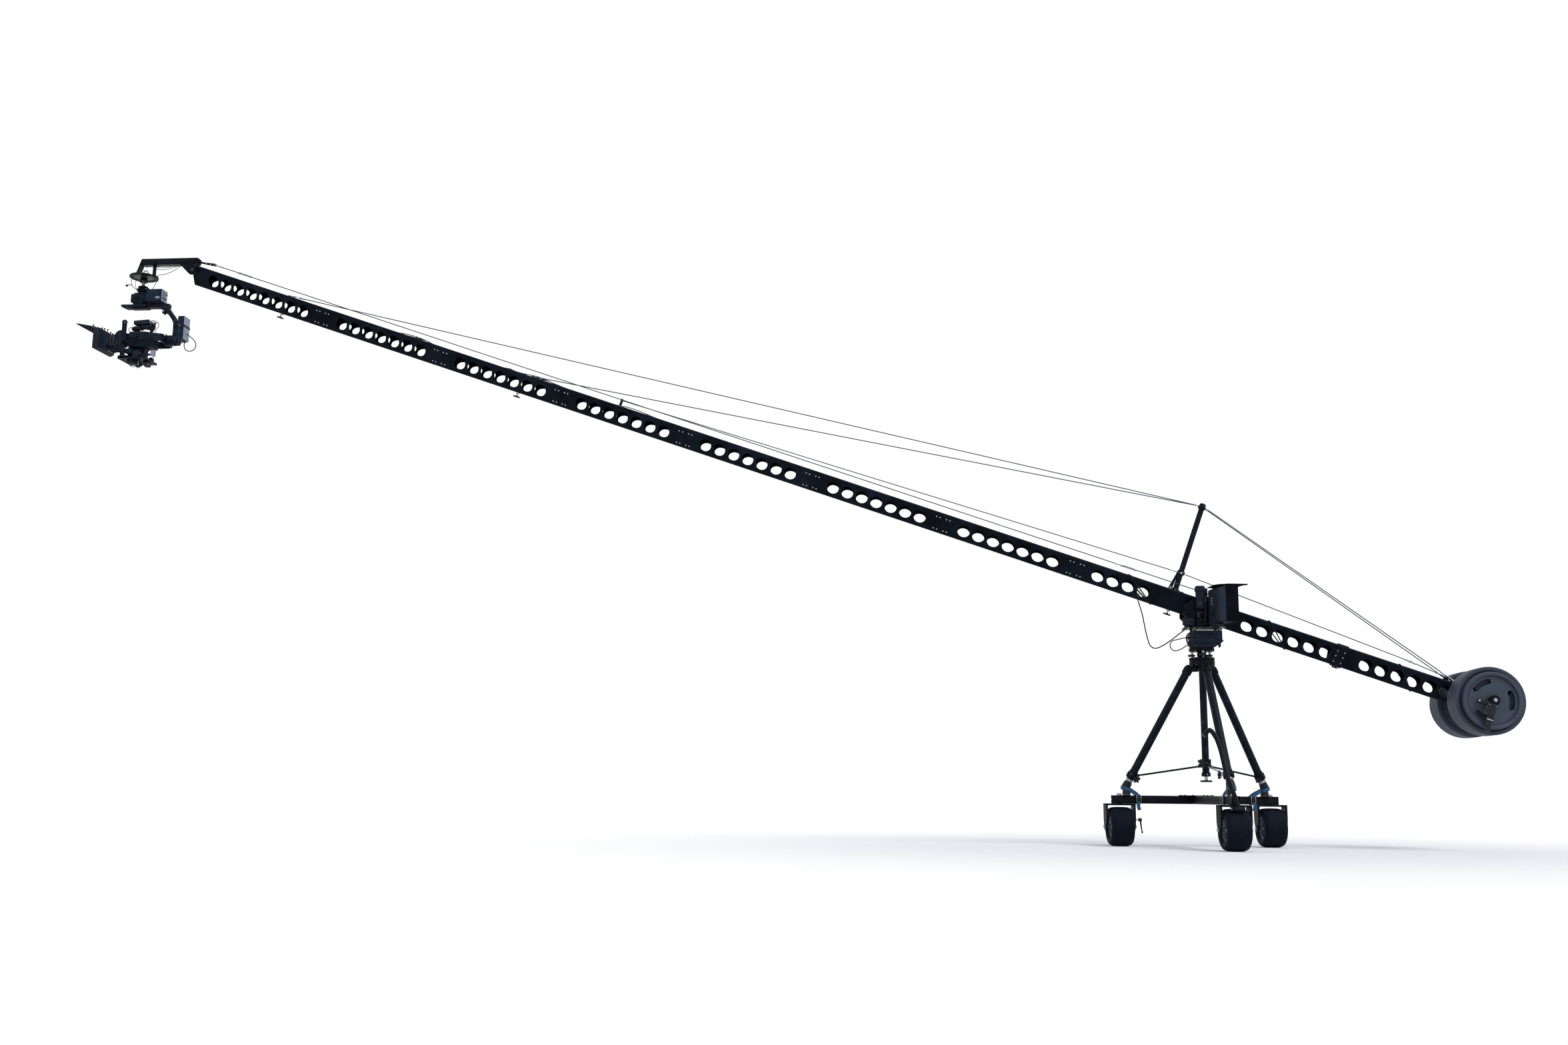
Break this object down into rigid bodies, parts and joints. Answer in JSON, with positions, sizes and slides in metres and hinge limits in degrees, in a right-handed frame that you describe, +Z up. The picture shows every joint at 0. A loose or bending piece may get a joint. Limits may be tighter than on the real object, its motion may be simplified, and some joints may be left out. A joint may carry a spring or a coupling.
{
  "type": "camera jib crane",
  "caption": "Camera jib crane: wheeled tripod with a pan and tilt fulcrum, a counterweighted triangular boom with stays, and a levelled remote head.",
  "frame": {"origin": "on the floor under the pan axis", "axes": "+Z up; +X along the crane towards the counterweights, so the camera is at -X; +Y towards the far side of the crane, away from the monitor"},
  "size_m": [9.6295, 1.1555, 4.0477],
  "materials": {
    "boom_black": "satin black coat on aluminium",
    "frame_black": "satin black paint on steel",
    "tripod_black": "black anodised aluminium",
    "bright_steel": "bare steel",
    "cable_steel": "dark wire rope",
    "plate_iron": "dark grey-blue coated iron",
    "wheel_rubber": "smooth black rubber on a cast rim",
    "black_plastic": "matt black plastic",
    "gimbal_black": "matt black coat on aluminium",
    "monitor_case": "dark grey case",
    "blue_webbing": "woven blue webbing",
    "cord_black": "black cable sheath"
  },
  "bodies": {
    "base": {"dolly_frame": "frame_black", "crown": "tripod_black", "leg_left": "tripod_black", "leg_right": "tripod_black", "leg_front": "tripod_black", "centre_column": "tripod_black", "spreader": "tripod_black", "strap_left": "blue_webbing", "strap_right": "blue_webbing", "strap_front": "blue_webbing", "levelling_base": "tripod_black"},
    "knob": {"spreader_knob": "black_plastic"},
    "caster_left": {"fork_left": "frame_black"},
    "caster_right": {"fork_right": "frame_black"},
    "caster_front": {"fork_front": "frame_black"},
    "wheel_left": {"wheel_left": "wheel_rubber"},
    "wheel_right": {"wheel_right": "wheel_rubber"},
    "wheel_front": {"wheel_front": "wheel_rubber"},
    "brake": {"brake_lever": "black_plastic"},
    "tow": {"tow_bar": "bright_steel"},
    "pan": {"pan_turntable": "tripod_black", "fulcrum_yoke": "tripod_black", "battery": "black_plastic", "control_box": "black_plastic", "control_cord": "cord_black", "loop_cord": "cord_black"},
    "monitor": {"monitor": "monitor_case", "monitor_hood": "black_plastic"},
    "boom": {"tilt_axle": "bright_steel", "boom_nose": "boom_black", "boom_extension_1": "boom_black", "boom_extension_2": "boom_black", "boom_extension_3": "boom_black", "boom_extension_4": "boom_black", "boom_extension_5": "boom_black", "boom_extension_6": "boom_black", "boom_centre": "boom_black", "boom_rear": "boom_black", "boom_tail": "boom_black", "band_clamp": "boom_black", "mast": "tripod_black", "stay_wires": "cable_steel", "weight_axle": "bright_steel", "large_plates_near": "plate_iron", "large_plates_far": "plate_iron", "small_plate_near": "plate_iron", "small_plate_far": "plate_iron", "hub_clamp": "black_plastic"},
    "link": {"levelling_link": "cable_steel"},
    "head_arm": {"level_arm": "tripod_black", "damping_disk": "tripod_black"},
    "gimbal": {"gimbal_top": "gimbal_black", "receiver_box": "black_plastic", "head_battery": "black_plastic", "battery_cord": "cord_black"},
    "roll": {"roll_frame": "gimbal_black"},
    "camera": {"camera_cage": "gimbal_black", "camera": "gimbal_black", "matte_box": "black_plastic"},
    "flag": {"top_flag": "black_plastic"}
  },
  "joints": [
    {"name": "knob_turn", "type": "hinge", "parent": "base", "child": "knob", "pos_m": [-0.01802, -0.02918, 0.528], "axis": [-0.5255, -0.8508, 0], "continuous": true},
    {"name": "swivel_left", "type": "hinge", "parent": "base", "child": "caster_left", "pos_m": [-0.5201, 0.22831, 0.272], "axis": [0, 0, 1], "continuous": true},
    {"name": "swivel_right", "type": "hinge", "parent": "base", "child": "caster_right", "pos_m": [0.45777, 0.33626, 0.272], "axis": [0, 0, 1], "continuous": true},
    {"name": "swivel_front", "type": "hinge", "parent": "base", "child": "caster_front", "pos_m": [0.06233, -0.56457, 0.272], "axis": [0, 0, 1], "range_deg": [-90, 90]},
    {"name": "spin_left", "type": "hinge", "parent": "caster_left", "child": "wheel_left", "pos_m": [-0.5201, 0.22831, 0.125], "axis": [0.994, 0.1097, 0], "continuous": true},
    {"name": "spin_right", "type": "hinge", "parent": "caster_right", "child": "wheel_right", "pos_m": [0.45777, 0.33626, 0.125], "axis": [0.994, 0.1097, 0], "continuous": true},
    {"name": "spin_front", "type": "hinge", "parent": "caster_front", "child": "wheel_front", "pos_m": [0.06233, -0.56457, 0.125], "axis": [0.994, 0.1097, 0], "continuous": true},
    {"name": "brake_turn", "type": "hinge", "parent": "caster_left", "child": "brake", "pos_m": [-0.42438, 0.23887, 0.169], "axis": [0.994, 0.1097, 0], "range_deg": [-100, 100]},
    {"name": "tow_hinge", "type": "hinge", "parent": "caster_front", "child": "tow", "pos_m": [0.07133, -0.64607, 0.2477], "axis": [0.994, 0.1097, 0], "range_deg": [0, 75]},
    {"name": "pan_turn", "type": "hinge", "parent": "base", "child": "pan", "pos_m": [0, 0, 1.259], "axis": [0, 0, 1], "continuous": true},
    {"name": "monitor_turn", "type": "hinge", "parent": "pan", "child": "monitor", "pos_m": [0.07727, -0.27665, 1.39], "axis": [0, 0, 1], "range_deg": [-30, 0]},
    {"name": "boom_tilt", "type": "hinge", "parent": "pan", "child": "boom", "pos_m": [0, 0, 1.5223], "axis": [0, 1, 0], "range_deg": [-16, 8.5], "deforming": ["control_cord"]},
    {"name": "link_swing", "type": "hinge", "parent": "pan", "child": "link", "pos_m": [0.139, -0.036, 1.5743], "axis": [0, 1, 0], "range_deg": [-16, 8.5]},
    {"name": "head_level", "type": "hinge", "parent": "boom", "child": "head_arm", "pos_m": [-6.92837, 0, 3.93366], "axis": [0, 1, 0], "range_deg": [-8.5, 16]},
    {"name": "head_pan", "type": "hinge", "parent": "head_arm", "child": "gimbal", "pos_m": [-7.32837, 0, 3.79466], "axis": [0, 0, 1], "continuous": true},
    {"name": "head_roll", "type": "hinge", "parent": "gimbal", "child": "roll", "pos_m": [-7.05937, 0, 3.44366], "axis": [1, 0, 0], "range_deg": [-40, 40]},
    {"name": "head_tilt", "type": "hinge", "parent": "roll", "child": "camera", "pos_m": [-7.39237, 0, 3.44366], "axis": [0, 1, 0], "range_deg": [-90, 35]},
    {"name": "flag_hinge", "type": "hinge", "parent": "camera", "child": "flag", "pos_m": [-7.60297, 0, 3.52196], "axis": [0, 1, 0], "range_deg": [-80, 40]}
  ],
  "couplings": [
    {"joint": "link_swing", "follows": "boom_tilt", "ratio": 1},
    {"joint": "head_level", "follows": "boom_tilt", "ratio": -1}
  ]
}
